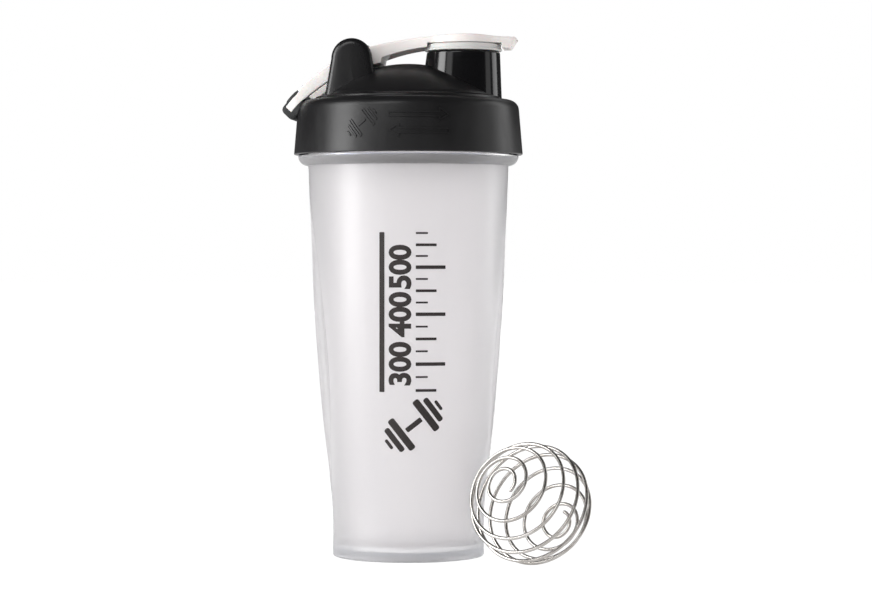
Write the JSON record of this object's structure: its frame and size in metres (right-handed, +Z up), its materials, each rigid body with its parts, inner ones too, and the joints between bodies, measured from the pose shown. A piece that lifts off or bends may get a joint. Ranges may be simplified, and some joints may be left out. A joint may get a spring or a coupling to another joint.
{
  "type": "protein shaker bottle",
  "caption": "Translucent shaker cup with a black screw lid, hinged flip cap over a spout, carry loop and a loose wire whisk ball.",
  "frame": {"origin": "the cup's axis at the face that the cup stands on", "axes": "+Z up along the cup's axis, +X towards the spout, -Y the side with the scale"},
  "size_m": [0.1363, 0.1126, 0.2285],
  "materials": {
    "cup_plastic": "translucent, lightly frosted",
    "lid_plastic": "satin moulded, the spout and posts polished",
    "seal_rubber": "matt",
    "cap_plastic": "satin, warm white",
    "plug_plastic": "satin, cool white",
    "loop_plastic": "satin, warm white",
    "grip_rubber": "soft-touch matt",
    "wire_steel": "drawn and polished wire"
  },
  "bodies": {
    "cup": {"cup_body": "cup_plastic"},
    "seal": {"lid_seal": "seal_rubber"},
    "lid": {"lid_shell": "lid_plastic"},
    "cap": {"flip_cap": "cap_plastic", "spout_plug": "plug_plastic"},
    "loop": {"carry_loop": "loop_plastic", "loop_grip": "grip_rubber"},
    "ball": {"whisk_ball": "wire_steel"}
  },
  "joints": [
    {"name": "lid_rise", "type": "slide", "parent": "cup", "child": "seal", "axis": [0, 0, 1], "range_m": [0, 0.0301]},
    {"name": "lid_turn", "type": "hinge", "parent": "seal", "child": "lid", "pos_m": [0, 0, 0.1955], "axis": [0, 0, 1], "range_deg": [0, 1080]},
    {"name": "flip_open", "type": "hinge", "parent": "lid", "child": "cap", "pos_m": [-0.023, 0, 0.21701], "axis": [0, -1, 0], "range_deg": [0, 120]},
    {"name": "loop_swing", "type": "hinge", "parent": "lid", "child": "loop", "pos_m": [-0.023, 0, 0.21701], "axis": [0, 1, 0], "range_deg": [0, 60]},
    {"name": "ball_slide", "type": "slide", "parent": "cup", "child": "ball", "axis": [1, 0, 0], "range_m": [0, 0.12]}
  ],
  "couplings": [
    {"joint": "lid_rise", "follows": "lid_turn", "m_per_rad": 0.0015915}
  ]
}
